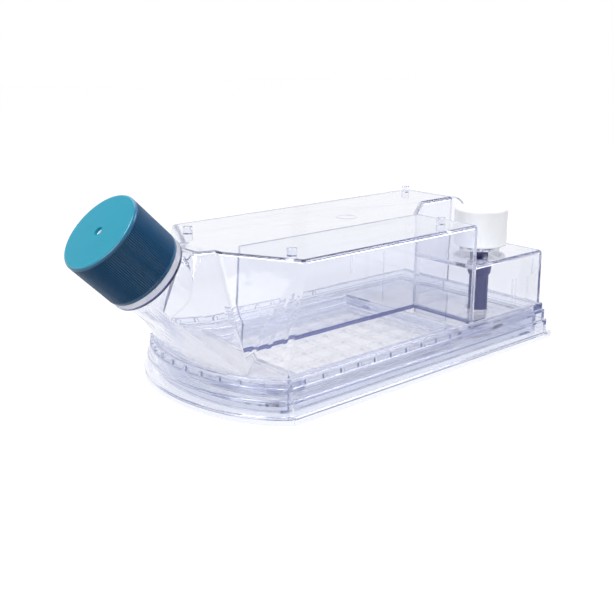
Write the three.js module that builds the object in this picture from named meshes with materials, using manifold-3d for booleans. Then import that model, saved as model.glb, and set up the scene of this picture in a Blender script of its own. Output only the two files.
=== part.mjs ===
// A two-chamber cell culture flask: a clear housing for the medium stands on a stepped base frame,
// and a thin chamber for the cells lies in the base between a membrane and a gas-permeable sheet.
// Millimetres, +Z up. +X runs from the neck to the rear, and +Y to the side away from the access port.
// Up to the last section, x = 0 is at the base's front corners and y = 0 on its centre plane.

import * as THREE from 'three';
import { mergeVertices } from 'three/addons/utils/BufferGeometryUtils.js';
import { ConvexGeometry } from 'three/addons/geometries/ConvexGeometry.js';
import Module from 'manifold-3d';

const wasm = await Module();
wasm.setup();

// ---- Driving dimensions ----

const SEAT_GAP = 0.3; // between pieces that rest on or are welded to each other
const CUT_OVERRUN = 1; // how far a cut runs past the face it opens

// Base frame: a stepped skirt whose front is bowed
const BASE_LENGTH = 194; // front corners to rear edge
const BASE_WIDTH = 121;
const FRONT_BOW = 26.5; // how far the middle of the front stands ahead of the corners
const BOW_SLOPE = 0.68; // sideways run for each unit forward where the bow leaves a corner
const RIM_STEPS = [
  { top: 4, side: 0, rear: 0 },
  { top: 11, side: 2, rear: 2.4 },
  { top: 16.5, side: 3.5, rear: 2.9 },
  { top: 20, side: 5, rear: 3.2 },
];
const SKIRT_WALL = 2;
const CHANNEL_INNER = 7.5; // inset of the hollow under the steps
const RIM_INNER = 9.5; // inset of the rim's inner face
const LOWER_LEDGE = { top: 4.2, thickness: 1.5, reach: 7.5 };
const UPPER_LEDGE = { top: 13.7, thickness: 1.7, reach: 3 };
const AIR_SLOT = { width: 14, height: 2.4, pitch: 30, count: 3 };
const PIP = { length: 2.2, height: 2.2, pitch: 10.9, edgeGap: 0.2, notchGap: 16 }; // on the third step

// Cell chamber, from the bottom up
const GRID_THICKNESS = 1.5;
const GRID_BAR = 2.4;
const GRID_COLUMNS = 8;
const GRID_ROWS = 6;
const GAS_SHEET_THICKNESS = 0.5;
const CELL_DEPTH = 2;
const MEMBRANE_THICKNESS = 0.3;
const WINDOW = { front: 15, notchGap: 5, sideMargin: 18 }; // clear area above the cell chamber
const FEED_CHANNEL_WIDTH = 6;
const FEED_POCKET_GAP = 3.3; // from the spigot's bore to the pocket's wall
const FLOOR_PLATE_THICKNESS = 2.5;
const TUBE_WELL = { floor: 1.3, gap: 1.5 }; // sunk into the floor round the access tube's foot

// Housing
const WALL = 2;
const HOUSING_INSET = 6.6; // outer face of the walls from the base's side and front edges
const HOUSING_REAR_INSET = 3.5;
const HOUSING_TOP = 73;
const DRAFT = 0.4; // each wall's lean over its height
const FOOT_BAND = 5.7; // upright band at the foot of the front
const FRONT_SETBACK = 11; // deck corners behind the base's front corners
const SHOULDER = { front: -8.3, halfWidth: 16.3, footHalfWidth: 41 };
const THROAT_HALF_WIDTH = 14;
const SHELF_HEIGHT = 51;
const NOTCH = { length: 59.4, depth: 67.5, cornerX: 31.4, cornerY: 24.6 };
const BAFFLE = { thickness: 1.8, topFront: 8.6, footFront: 0 };
const REAR_WING = { reach: 10, radius: 9 }; // the rear wall's rounded end beside the notch
const STACKING_PIN = { radius: 2, height: 3.8 };
const PIN_INSETS = {
  nearFront: { x: 12.9, side: 17.8 },
  farFront: { x: 4.1, side: 32.8 },
  nearNotch: { x: 14, side: 21.5 },
  farRear: { x: 14.3, side: 15.5 },
};

// Main neck and its cap
const NECK_TILT = THREE.MathUtils.degToRad(45);
const NECK_RADIUS = 17;
const NECK_WALL = 2.2;
const NECK_AXIS_BELOW_DECK = 36.5; // where the axis crosses the shoulder's front
const NECK_REACH = 67.7; // from there to the mouth
const NECK_ROOT = 24; // length of the neck that blends into the shoulder
const NECK_BEAD = { depth: 2.6, height: 2.2, gap: 1 };
const THREAD_GAP = 1.4; // room for the threads between the neck and its cap
const CAP_WALL = 1.8;
const CAP_HEIGHT = 28;
const CAP_TOP_THICKNESS = 2.2;
const CAP_DIMPLE = { radius: 1.3, depth: 0.8 };
const CAP_EDGE = 0.8;
const LINER_THICKNESS = 1.2;
const LINER_EDGE_GAP = 0.5;

// Access port: a fitting on the shelf, and the tube from its spigot down to the cell chamber
const PORT = { fromRear: 29, fromNearSide: 33 };
const PORT_NECK_RADIUS = 11.4;
const PORT_NECK_WALL = 4.4;
const PORT_NECK_HEIGHT = 19.9;
const PORT_THREAD_GAP = 1.7;
const PORT_CAP_WALL = 1.8;
const PORT_CAP_HEIGHT = 21;
const PORT_CAP_TOP = 2;
const PORT_CAP_EDGE = 0.7;
const SEPTUM_THICKNESS = 1.5;
const SPIGOT = { bore: 1.7, wall: 1.2, length: 10, funnel: 5 };
const STEM_WALL = 1.6; // how much thicker the fitting is where it passes through the shelf
const TUBE_WALL = 2.1;
const TUBE_COLLAR = { depth: 1.55, waist: 0.8, below: 7.3, height: 4.8 };

const ROUND_SEGMENTS = 64;
const SMALL_SEGMENTS = 32;
const BOW_SEGMENTS = 28;

// ---- Derived sizes ----

const halfWidth = BASE_WIDTH / 2;
const rimTop = RIM_STEPS.at(-1).top;
const gridBottom = LOWER_LEDGE.top + SEAT_GAP;
const sheetBottom = gridBottom + GRID_THICKNESS + SEAT_GAP;
const spacerBottom = sheetBottom + GAS_SHEET_THICKNESS + SEAT_GAP;
const membraneBottom = spacerBottom + CELL_DEPTH + SEAT_GAP;
const retainerBottom = membraneBottom + MEMBRANE_THICKNESS + SEAT_GAP;
const floorPlateBottom = UPPER_LEDGE.top + SEAT_GAP;
const floorTop = floorPlateBottom + FLOOR_PLATE_THICKNESS;
const wellFloor = retainerBottom + TUBE_WELL.floor;
const plateInset = RIM_INNER + SEAT_GAP;
const stackInset = RIM_INNER + UPPER_LEDGE.reach + SEAT_GAP;

const housingBottom = rimTop + SEAT_GAP;
const sideY = halfWidth - HOUSING_INSET;
const rearX = BASE_LENGTH - HOUSING_REAR_INSET;
const notchX = rearX - NOTCH.length;
const notchY = NOTCH.depth - sideY;
const baffleY = notchY - NOTCH.cornerY;

const window = {
  front: WINDOW.front,
  rear: notchX - WINDOW.notchGap,
  half: halfWidth - WINDOW.sideMargin,
};
const portX = BASE_LENGTH - PORT.fromRear;
const portY = PORT.fromNearSide - halfWidth;

const neckFoot = new THREE.Vector3(SHOULDER.front, 0, HOUSING_TOP - NECK_AXIS_BELOW_DECK);
const neckAxis = new THREE.Vector3(-Math.cos(NECK_TILT), 0, Math.sin(NECK_TILT));
const capRadius = NECK_RADIUS + THREAD_GAP + CAP_WALL;
const portCapRadius = PORT_NECK_RADIUS + PORT_THREAD_GAP + PORT_CAP_WALL;
const spigotRadius = SPIGOT.bore + SPIGOT.wall;
const stemRadius = spigotRadius + STEM_WALL;
const portNeckTop = SHELF_HEIGHT + PORT_NECK_HEIGHT;
const portCapTop = portNeckTop + SEPTUM_THICKNESS + 2 * SEAT_GAP + PORT_CAP_TOP;
const tubeBore = spigotRadius + SEAT_GAP;
const tubeRadius = tubeBore + TUBE_WALL;
const capTopAboveMouth = CAP_TOP_THICKNESS + LINER_THICKNESS + 2 * SEAT_GAP;
const capBottomFromMouth = CAP_HEIGHT - capTopAboveMouth;

// ---- Solids from three.js geometries ----

function solidFrom(geometry) {
  const bare = geometry.clone();
  bare.deleteAttribute('normal');
  bare.deleteAttribute('uv');
  const merged = mergeVertices(bare, 1e-4);
  const vertProperties = new Float32Array(merged.attributes.position.array);
  const corners = [];
  const [a, b, c] = [new THREE.Vector3(), new THREE.Vector3(), new THREE.Vector3()];
  let volume = 0;
  for (let i = 0; i < merged.index.count; i += 3) {
    const [p, q, r] = [0, 1, 2].map((k) => merged.index.getX(i + k));
    if (p === q || q === r || r === p) continue;
    corners.push([p, q, r]);
    a.fromArray(vertProperties, 3 * p);
    b.fromArray(vertProperties, 3 * q);
    c.fromArray(vertProperties, 3 * r);
    volume += a.dot(b.cross(c));
  }
  const outward = volume < 0 ? corners.map(([p, q, r]) => [p, r, q]) : corners;
  const mesh = new wasm.Mesh({ numProp: 3, vertProperties, triVerts: new Uint32Array(outward.flat()) });
  return new wasm.Manifold(mesh);
}

function geometryFrom(solid) {
  const { vertProperties, triVerts } = solid.getMesh();
  const geometry = new THREE.BufferGeometry();
  geometry.setAttribute('position', new THREE.Float32BufferAttribute(vertProperties, 3));
  geometry.setIndex(new THREE.Uint32BufferAttribute(triVerts, 1));
  geometry.computeVertexNormals();
  return geometry;
}

function joined(solids) {
  return solids.reduce((sum, solid) => sum.add(solid));
}

// An upright prism on an outline of [x, y] points
function prism(outline, bottom, top) {
  const shape = new THREE.Shape(outline.map(([x, y]) => new THREE.Vector2(x, y)));
  const geometry = new THREE.ExtrudeGeometry(shape, { depth: top - bottom, bevelEnabled: false });
  return solidFrom(geometry.translate(0, 0, bottom));
}

function box(xMin, xMax, yMin, yMax, zMin, zMax) {
  return prism([[xMin, yMin], [xMax, yMin], [xMax, yMax], [xMin, yMax]], zMin, zMax);
}

// A solid turned about Z from [radius, z] points: the outline either closes or ends on the axis
function turned(profile, segments, x = 0, y = 0) {
  const points = profile.map(([radius, z]) => new THREE.Vector2(radius, z));
  if (profile[0][0] > 0) points.push(points[0].clone());
  const geometry = new THREE.LatheGeometry(points, segments);
  return solidFrom(geometry.rotateX(Math.PI / 2).translate(x, y, 0));
}

function rod(radius, bottom, top, segments, x = 0, y = 0) {
  return turned([[0, bottom], [radius, bottom], [radius, top], [0, top]], segments, x, y);
}

// Lays a solid that stands on Z at the origin onto the neck's axis, measured from the neck's foot
function ontoNeck(solid) {
  const turn = new THREE.Quaternion().setFromUnitVectors(new THREE.Vector3(0, 0, 1), neckAxis);
  const matrix = new THREE.Matrix4().compose(neckFoot, turn, new THREE.Vector3(1, 1, 1));
  return solid.transform(matrix.elements);
}

// ---- Outlines ----

// The base's outline moved inwards: a rectangle whose front bows forwards from two sharp corners
function baseOutline(inset, rearInset, rear = BASE_LENGTH) {
  const half = halfWidth - inset;
  const cornerX = inset * (Math.hypot(1, BOW_SLOPE) - 1) / BOW_SLOPE;
  const reach = (4 / 3) * (FRONT_BOW - inset + cornerX);
  const bow = new THREE.CubicBezierCurve(
    new THREE.Vector2(cornerX, half),
    new THREE.Vector2(cornerX - reach, half - BOW_SLOPE * reach),
    new THREE.Vector2(cornerX - reach, BOW_SLOPE * reach - half),
    new THREE.Vector2(cornerX, -half),
  );
  const front = bow.getPoints(BOW_SEGMENTS).map((point) => [point.x, point.y]);
  return [...front, [rear - rearInset, -half], [rear - rearInset, half]];
}

function atHeight(outline, z) {
  return outline.map(([x, y]) => new THREE.Vector3(x, y, z));
}

function hull(points) {
  return solidFrom(new ConvexGeometry(points));
}

// ---- Base frame ----

function rimLedge({ top, thickness, reach }) {
  const outer = prism(baseOutline(RIM_INNER - SEAT_GAP, RIM_INNER - SEAT_GAP), top - thickness, top);
  const inset = RIM_INNER + reach;
  return outer.subtract(prism(baseOutline(inset, inset), 0, rimTop));
}

// Small pips on the third step, equally spaced along both sides and round the bow
function edgePips() {
  const [step, wall] = RIM_STEPS.slice(-2);
  const width = wall.side - step.side;
  const outline = baseOutline(step.side + PIP.edgeGap + width / 2, 0, notchX - PIP.notchGap);
  const loop = [outline.at(-1), ...outline.slice(0, -1)];
  const path = new THREE.CurvePath();
  loop.slice(1).forEach(([x, y], i) => {
    path.add(new THREE.LineCurve(new THREE.Vector2(...loop[i]), new THREE.Vector2(x, y)));
  });
  const count = Math.floor(path.getLength() / PIP.pitch);
  return Array.from({ length: count }, (_, i) => {
    const place = path.getPointAt((i + 0.5) / count);
    const angle = path.getTangentAt((i + 0.5) / count).angle();
    const block = new THREE.BoxGeometry(PIP.length, width, PIP.height + CUT_OVERRUN);
    block.translate(0, 0, (PIP.height - CUT_OVERRUN) / 2);
    return solidFrom(block.rotateZ(angle).translate(place.x, place.y, step.top));
  });
}

function baseFrame() {
  const steps = RIM_STEPS.map(({ top, side, rear }) => prism(baseOutline(side, rear), 0, top));
  const inner = prism(baseOutline(CHANNEL_INNER, CHANNEL_INNER), -2 * CUT_OVERRUN, rimTop);
  const hollows = RIM_STEPS.slice(0, -1).map(({ top, side, rear }) => {
    const outline = baseOutline(side + SKIRT_WALL, rear + SKIRT_WALL);
    return prism(outline, -CUT_OVERRUN, top - SKIRT_WALL).subtract(inner);
  });
  const opening = prism(baseOutline(RIM_INNER, RIM_INNER), -CUT_OVERRUN, rimTop + CUT_OVERRUN);
  const slots = Array.from({ length: AIR_SLOT.count }, (_, i) => {
    const y = (i - (AIR_SLOT.count - 1) / 2) * AIR_SLOT.pitch;
    const rearWall = [BASE_LENGTH - RIM_INNER - CUT_OVERRUN, BASE_LENGTH + CUT_OVERRUN];
    return box(...rearWall, y - AIR_SLOT.width / 2, y + AIR_SLOT.width / 2, -CUT_OVERRUN, AIR_SLOT.height);
  });
  return joined([...steps, ...edgePips()])
    .subtract(joined(hollows))
    .subtract(opening)
    .add(rimLedge(LOWER_LEDGE))
    .add(rimLedge(UPPER_LEDGE))
    .subtract(joined(slots));
}

// ---- Cell chamber ----

function stackPlate(bottom, thickness) {
  return prism(baseOutline(stackInset, stackInset), bottom, bottom + thickness);
}

function windowCut(bottom, top) {
  return box(window.front, window.rear, -window.half, window.half, bottom, top);
}

function bottomGrid() {
  const pitchX = (window.rear - window.front + GRID_BAR) / GRID_COLUMNS;
  const pitchY = (2 * window.half + GRID_BAR) / GRID_ROWS;
  const top = gridBottom + GRID_THICKNESS;
  let grid = stackPlate(gridBottom, GRID_THICKNESS);
  for (let column = 0; column < GRID_COLUMNS; column += 1) {
    for (let row = 0; row < GRID_ROWS; row += 1) {
      const x = window.front + column * pitchX;
      const y = row * pitchY - window.half;
      const hole = [x, x + pitchX - GRID_BAR, y, y + pitchY - GRID_BAR];
      grid = grid.subtract(box(...hole, gridBottom - CUT_OVERRUN, top + CUT_OVERRUN));
    }
  }
  return grid;
}

function spacerFrame() {
  const low = spacerBottom - CUT_OVERRUN;
  const high = membraneBottom + CUT_OVERRUN;
  const channelY = [portY - FEED_CHANNEL_WIDTH / 2, portY + FEED_CHANNEL_WIDTH / 2];
  return stackPlate(spacerBottom, CELL_DEPTH)
    .subtract(windowCut(low, high))
    .subtract(box(window.rear - CUT_OVERRUN, portX, ...channelY, low, high))
    .subtract(rod(SPIGOT.bore + FEED_POCKET_GAP, low, high, SMALL_SEGMENTS, portX, portY));
}

function cellMembrane() {
  const top = membraneBottom + MEMBRANE_THICKNESS;
  const hole = rod(SPIGOT.bore, membraneBottom - CUT_OVERRUN, top + CUT_OVERRUN, SMALL_SEGMENTS, portX, portY);
  return stackPlate(membraneBottom, MEMBRANE_THICKNESS).subtract(hole);
}

function membraneRetainer() {
  const nippleTop = wellFloor + SPIGOT.length;
  const plate = prism(baseOutline(plateInset, plateInset), floorPlateBottom, floorTop);
  const block = stackPlate(retainerBottom, floorTop - retainerBottom);
  const wellRadius = tubeRadius + TUBE_WELL.gap;
  const well = rod(wellRadius, wellFloor, floorTop + CUT_OVERRUN, SMALL_SEGMENTS, portX, portY);
  const nipple = rod(spigotRadius, wellFloor - TUBE_WELL.floor / 2, nippleTop, SMALL_SEGMENTS, portX, portY);
  const bore = [retainerBottom - CUT_OVERRUN, nippleTop + CUT_OVERRUN, SMALL_SEGMENTS, portX, portY];
  return joined([plate, block])
    .subtract(windowCut(retainerBottom - CUT_OVERRUN, floorTop + CUT_OVERRUN))
    .subtract(well)
    .add(nipple)
    .subtract(rod(SPIGOT.bore, ...bore));
}

// ---- Housing ----

// The body in front of the notch, shrunk by a wall
function frontBody(shrink, openBottom) {
  const outline = baseOutline(HOUSING_INSET + shrink, shrink, notchX);
  const side = sideY - DRAFT - shrink;
  const top = [
    ...shoulderCorners(shrink),
    [FRONT_SETBACK + shrink, -side],
    [FRONT_SETBACK + shrink, side],
    [notchX - shrink, -side],
    [notchX - shrink, side],
  ];
  return hull([
    ...atHeight(outline, openBottom),
    ...atHeight(outline, housingBottom + FOOT_BAND),
    ...atHeight(top, HOUSING_TOP - shrink),
  ]);
}

function shoulderCorners(shrink) {
  return [-1, 1].map((side) => [SHOULDER.front + shrink, side * (SHOULDER.halfWidth - shrink)]);
}

// The throat in front of the shoulder: it gathers the bow's middle into the round root of the neck
function throat(shrink, openBottom) {
  const foot = baseOutline(HOUSING_INSET + shrink, shrink, notchX)
    .filter(([, y]) => Math.abs(y) < SHOULDER.footHalfWidth - shrink);
  const mouthSide = NECK_RADIUS * Math.sin(NECK_TILT);
  const mouthRise = NECK_RADIUS * Math.cos(NECK_TILT);
  const alongNeck = (HOUSING_TOP - neckFoot.z - mouthRise) / Math.sin(NECK_TILT);
  const front = neckFoot.x + mouthSide - alongNeck * Math.cos(NECK_TILT) + shrink;
  const half = THROAT_HALF_WIDTH - shrink;
  const turn = new THREE.Quaternion().setFromUnitVectors(new THREE.Vector3(0, 0, 1), neckAxis);
  const rootCentre = neckFoot.clone().addScaledVector(neckAxis, NECK_ROOT);
  const rootRadius = NECK_RADIUS - (shrink > 0 ? NECK_WALL : 0);
  const root = Array.from({ length: ROUND_SEGMENTS }, (_, i) => {
    const angle = (2 * Math.PI * i) / ROUND_SEGMENTS;
    const spoke = new THREE.Vector3(rootRadius * Math.cos(angle), rootRadius * Math.sin(angle), 0);
    return spoke.applyQuaternion(turn).add(rootCentre);
  });
  return hull([
    ...atHeight(foot, openBottom),
    ...atHeight(foot, housingBottom + FOOT_BAND),
    ...atHeight([[front, -half], [front, half], ...shoulderCorners(shrink)], HOUSING_TOP - shrink),
    ...root,
  ]);
}

// The arm of the body that runs on beside the notch to the rear
function rearArm(shrink, openBottom) {
  const bendX = notchX + NOTCH.cornerX - shrink * Math.SQRT1_2;
  const joinX = notchX - shrink - CUT_OVERRUN;
  const bend = (lean) => [
    [joinX, baffleY + shrink],
    [notchX - shrink, baffleY + shrink],
    [bendX, notchY + shrink],
    [bendX, sideY - shrink - lean],
    [joinX, sideY - shrink - lean],
  ];
  const arm = (lean) => [
    [bendX - CUT_OVERRUN, notchY + shrink],
    [rearX - shrink - lean, notchY + shrink],
    [rearX - shrink - lean, sideY - shrink - lean],
    [bendX - CUT_OVERRUN, sideY - shrink - lean],
  ];
  const deck = HOUSING_TOP - shrink;
  const [bendBody, armBody] = [bend, arm].map((outline) => (
    hull([...atHeight(outline(0), openBottom), ...atHeight(outline(DRAFT), deck)])
  ));
  return bendBody.add(armBody);
}

// The lower box in the notch that the access port stands on
function portBox(shrink, openBottom) {
  const notchSide = notchX + shrink;
  const outline = (lean) => [
    [notchSide, lean + shrink - sideY],
    [rearX - shrink - lean, lean + shrink - sideY],
    [rearX - shrink - lean, notchY - shrink],
    [notchX + NOTCH.cornerX + shrink, notchY - shrink],
    [notchSide, baffleY - shrink],
  ];
  const shelf = SHELF_HEIGHT - shrink;
  return hull([...atHeight(outline(0), openBottom), ...atHeight(outline(DRAFT), shelf)]);
}

// A plate across the body, from the notch's inner corner almost to the neck
function baffle() {
  const rear = notchX - WALL / 2;
  const deck = HOUSING_TOP - WALL / 2;
  const faces = [-0.5, 0.5].map((side) => baffleY + side * BAFFLE.thickness);
  const outline = [
    [BAFFLE.footFront, housingBottom],
    [rear, housingBottom],
    [rear, deck],
    [BAFFLE.topFront, deck],
  ];
  return hull(faces.flatMap((y) => outline.map(([x, z]) => new THREE.Vector3(x, y, z))));
}

// The notch's walls run on down to the floor plate and close the port's box off from the body
function notchFoot() {
  const reach = halfWidth;
  const near = [notchX - WALL, -reach];
  const outer = [near, [notchX - WALL, baffleY], [notchX + NOTCH.cornerX - WALL / 2, notchY + WALL],
    [BASE_LENGTH, notchY + WALL], [BASE_LENGTH, -reach]];
  const hollow = [[notchX, -reach - CUT_OVERRUN], [notchX, baffleY],
    [notchX + NOTCH.cornerX, notchY], [BASE_LENGTH + CUT_OVERRUN, notchY],
    [BASE_LENGTH + CUT_OVERRUN, -reach - CUT_OVERRUN]];
  const bottom = floorTop + SEAT_GAP;
  const top = housingBottom + CUT_OVERRUN;
  return prism(outer, bottom, top)
    .subtract(prism(hollow, bottom - CUT_OVERRUN, top + CUT_OVERRUN))
    .intersect(prism(baseOutline(plateInset, plateInset), bottom, top));
}

// The rear wall runs past the notch's back wall and ends in a rounded top corner
function rearWing() {
  const near = notchY - REAR_WING.reach;
  const shelf = SHELF_HEIGHT - WALL / 2;
  const centre = [near + REAR_WING.radius, HOUSING_TOP - REAR_WING.radius];
  const shape = new THREE.Shape();
  shape.moveTo(notchY + WALL / 2, shelf);
  shape.lineTo(notchY + WALL / 2, HOUSING_TOP);
  shape.lineTo(centre[0], HOUSING_TOP);
  shape.absarc(...centre, REAR_WING.radius, Math.PI / 2, Math.PI);
  shape.lineTo(near, shelf);
  const plate = new THREE.ExtrudeGeometry(shape, { depth: WALL, bevelEnabled: false });
  plate.rotateX(Math.PI / 2).rotateZ(Math.PI / 2);
  return solidFrom(plate.translate(rearX - DRAFT - WALL, 0, 0));
}

function neckTube() {
  const beadTop = NECK_REACH - capBottomFromMouth - NECK_BEAD.gap;
  const beadBottom = beadTop - NECK_BEAD.height;
  const beadRadius = NECK_RADIUS + NECK_BEAD.depth;
  return ontoNeck(turned([
    [0, 0], [NECK_RADIUS, 0],
    [NECK_RADIUS, beadBottom], [beadRadius, beadBottom],
    [beadRadius, beadTop], [NECK_RADIUS, beadTop],
    [NECK_RADIUS, NECK_REACH], [0, NECK_REACH],
  ], ROUND_SEGMENTS));
}

function neckBore() {
  const radius = NECK_RADIUS - NECK_WALL;
  return ontoNeck(rod(radius, 0, NECK_REACH + CUT_OVERRUN, ROUND_SEGMENTS));
}

function portHole() {
  const radius = stemRadius + SEAT_GAP;
  return rod(radius, SHELF_HEIGHT - 2 * WALL, SHELF_HEIGHT + CUT_OVERRUN, SMALL_SEGMENTS, portX, portY);
}

function stackingPins() {
  const { nearFront, farFront, nearNotch, farRear } = PIN_INSETS;
  const places = [
    [nearFront.x, nearFront.side - halfWidth],
    [farFront.x, halfWidth - farFront.side],
    [notchX - nearNotch.x, nearNotch.side - halfWidth],
    [BASE_LENGTH - farRear.x, halfWidth - farRear.side],
  ];
  const bottom = HOUSING_TOP - WALL / 2;
  return places.map(([x, y]) => (
    rod(STACKING_PIN.radius, bottom, HOUSING_TOP + STACKING_PIN.height, SMALL_SEGMENTS, x, y)
  ));
}

function housing() {
  const below = housingBottom - CUT_OVERRUN;
  const [shell, chamber] = [[0, housingBottom], [WALL, below]].map(([shrink, bottom]) => (
    joined([frontBody(shrink, bottom), throat(shrink, bottom), rearArm(shrink, bottom)])
  ));
  return shell
    .add(portBox(0, housingBottom))
    .add(neckTube())
    .subtract(chamber)
    .subtract(portBox(WALL, below))
    .subtract(neckBore())
    .add(baffle())
    .add(notchFoot())
    .add(rearWing())
    .subtract(portHole())
    .add(joined(stackingPins()));
}

// ---- Port fitting, caps, seals and tube ----

// A neck that seats on the shelf, its stem through the shelf's hole, and the spigot under it
function portFitting() {
  const seat = SHELF_HEIGHT + SEAT_GAP;
  const underside = SHELF_HEIGHT - WALL;
  const bore = PORT_NECK_RADIUS - PORT_NECK_WALL;
  return turned([
    [SPIGOT.bore, underside - SPIGOT.length], [spigotRadius, underside - SPIGOT.length],
    [spigotRadius, underside], [stemRadius, underside],
    [stemRadius, seat], [PORT_NECK_RADIUS, seat],
    [PORT_NECK_RADIUS, portNeckTop], [bore, portNeckTop],
    [bore, SHELF_HEIGHT + SPIGOT.funnel], [SPIGOT.bore, SHELF_HEIGHT + WALL / 2],
  ], ROUND_SEGMENTS, portX, portY);
}

function screwCap({ radius, wall, bottom, top, lid, edge, dimple = { radius: 0, depth: 0 } }) {
  const inner = radius - wall;
  const crown = dimple.radius > 0
    ? [[dimple.radius, top], [dimple.radius, top - dimple.depth], [0, top - dimple.depth]]
    : [[0, top]];
  return turned([
    [0, top - lid], [inner, top - lid], [inner, bottom],
    [radius, bottom], [radius, top - edge], [radius - edge, top],
    ...crown,
  ], ROUND_SEGMENTS);
}

function mainCap() {
  const top = NECK_REACH + capTopAboveMouth;
  return ontoNeck(screwCap({
    radius: capRadius,
    wall: CAP_WALL,
    bottom: top - CAP_HEIGHT,
    top,
    lid: CAP_TOP_THICKNESS,
    edge: CAP_EDGE,
    dimple: CAP_DIMPLE,
  }));
}

function mainCapLiner() {
  const radius = capRadius - CAP_WALL - LINER_EDGE_GAP;
  const bottom = NECK_REACH + SEAT_GAP;
  return ontoNeck(rod(radius, bottom, bottom + LINER_THICKNESS, ROUND_SEGMENTS));
}

function portCap() {
  return screwCap({
    radius: portCapRadius,
    wall: PORT_CAP_WALL,
    bottom: portCapTop - PORT_CAP_HEIGHT,
    top: portCapTop,
    lid: PORT_CAP_TOP,
    edge: PORT_CAP_EDGE,
  }).translate([portX, portY, 0]);
}

function portSeptum() {
  const radius = portCapRadius - PORT_CAP_WALL - LINER_EDGE_GAP;
  const bottom = portNeckTop + SEAT_GAP;
  return rod(radius, bottom, bottom + SEPTUM_THICKNESS, ROUND_SEGMENTS, portX, portY);
}

// The soft tube pushed over the spigot above and the nipple below, with one flared collar
function accessTube() {
  const bottom = wellFloor + SEAT_GAP;
  const top = SHELF_HEIGHT - WALL - SEAT_GAP;
  const collarTop = top - TUBE_COLLAR.below;
  const collarBottom = collarTop - TUBE_COLLAR.height;
  return turned([
    [tubeBore, bottom], [tubeRadius, bottom], [tubeRadius, collarBottom],
    [tubeRadius + TUBE_COLLAR.waist, collarBottom], [tubeRadius + TUBE_COLLAR.depth, collarTop],
    [tubeRadius, collarTop], [tubeRadius, top], [tubeBore, top],
  ], SMALL_SEGMENTS, portX, portY);
}

// ---- The flask ----

function plastic(color, options) {
  return new THREE.MeshStandardMaterial({ color, roughness: 0.12, metalness: 0, ...options });
}

const clear = plastic('#dfe1f2', { transparent: true, opacity: 0.3, roughness: 0.05 });
const teal = plastic('#2e9fb4', { roughness: 0.45 });
const white = plastic('#f3f3f6', { roughness: 0.4 });
const black = plastic('#1c1c2c', { roughness: 0.6 });
const film = plastic('#eef0f6', { transparent: true, opacity: 0.55, roughness: 0.5 });
const silicone = plastic('#d9dde6', { transparent: true, opacity: 0.6, roughness: 0.5 });

const pieces = [
  ['housing', housing(), clear],
  ['base_frame', baseFrame(), clear],
  ['bottom_grid', bottomGrid(), clear],
  ['gas_sheet', stackPlate(sheetBottom, GAS_SHEET_THICKNESS), silicone],
  ['cell_spacer', spacerFrame(), silicone],
  ['cell_membrane', cellMembrane(), film],
  ['membrane_retainer', membraneRetainer(), clear],
  ['main_cap', mainCap(), teal],
  ['main_cap_liner', mainCapLiner(), film],
  ['port_fitting', portFitting(), clear],
  ['port_cap', portCap(), white],
  ['port_septum', portSeptum(), silicone],
  ['access_tube', accessTube(), black],
];

const flask = new THREE.Group();
for (const [name, solid, material] of pieces) {
  const mesh = new THREE.Mesh(geometryFrom(solid), material);
  mesh.name = name;
  flask.add(mesh);
}

// The origin is under the middle of the whole flask, on the surface that it stands on
const middle = new THREE.Box3().setFromObject(flask).getCenter(new THREE.Vector3());
flask.position.set(-middle.x, -middle.y, 0);

export default flask;
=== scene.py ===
"""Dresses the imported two-chamber cell culture flask: clear mouldings, screw caps, seals, access tube and stage."""

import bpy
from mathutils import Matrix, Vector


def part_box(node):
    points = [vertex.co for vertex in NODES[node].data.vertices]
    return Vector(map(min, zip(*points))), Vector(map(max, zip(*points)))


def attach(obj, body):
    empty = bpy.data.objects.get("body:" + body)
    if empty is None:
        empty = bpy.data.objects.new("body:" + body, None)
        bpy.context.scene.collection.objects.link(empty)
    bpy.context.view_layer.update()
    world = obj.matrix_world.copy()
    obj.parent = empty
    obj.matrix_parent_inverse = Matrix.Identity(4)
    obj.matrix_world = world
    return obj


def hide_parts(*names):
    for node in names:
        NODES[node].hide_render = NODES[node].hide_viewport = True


bl_info = {
    "name": "Cell Culture Flask",
    "version": (1, 0, 0),
    "blender": (4, 5, 0),
    "location": "View3D > Sidebar > Flask",
    "description": "Dresses a clear two-chamber cell culture flask with its mouldings, caps, seals and stage",
    "category": "Add Mesh",
}

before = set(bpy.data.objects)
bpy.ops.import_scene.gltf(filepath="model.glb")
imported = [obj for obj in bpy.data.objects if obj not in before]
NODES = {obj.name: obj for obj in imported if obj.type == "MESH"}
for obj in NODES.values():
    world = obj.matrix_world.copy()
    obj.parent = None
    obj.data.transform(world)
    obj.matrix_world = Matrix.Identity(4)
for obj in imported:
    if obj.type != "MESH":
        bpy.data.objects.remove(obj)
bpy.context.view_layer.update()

import math
from types import SimpleNamespace

import bmesh
import bpy
from bpy.props import FloatProperty, FloatVectorProperty, IntProperty, PointerProperty
from mathutils import Matrix, Vector, geometry

MM = 0.001

# Every builder works in millimetres in the maker's frame: x = 0 at the base's front corners,
# y = 0 on its centre plane, z = 0 on the table. FLASK turns that into the frame's metres.
BASE_LENGTH, BASE_WIDTH = 194.0, 121.0
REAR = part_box("base_frame")[1].x
FLASK = Matrix.Translation((REAR - BASE_LENGTH * MM, 0, 0)) @ Matrix.Scale(MM, 4)

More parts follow.
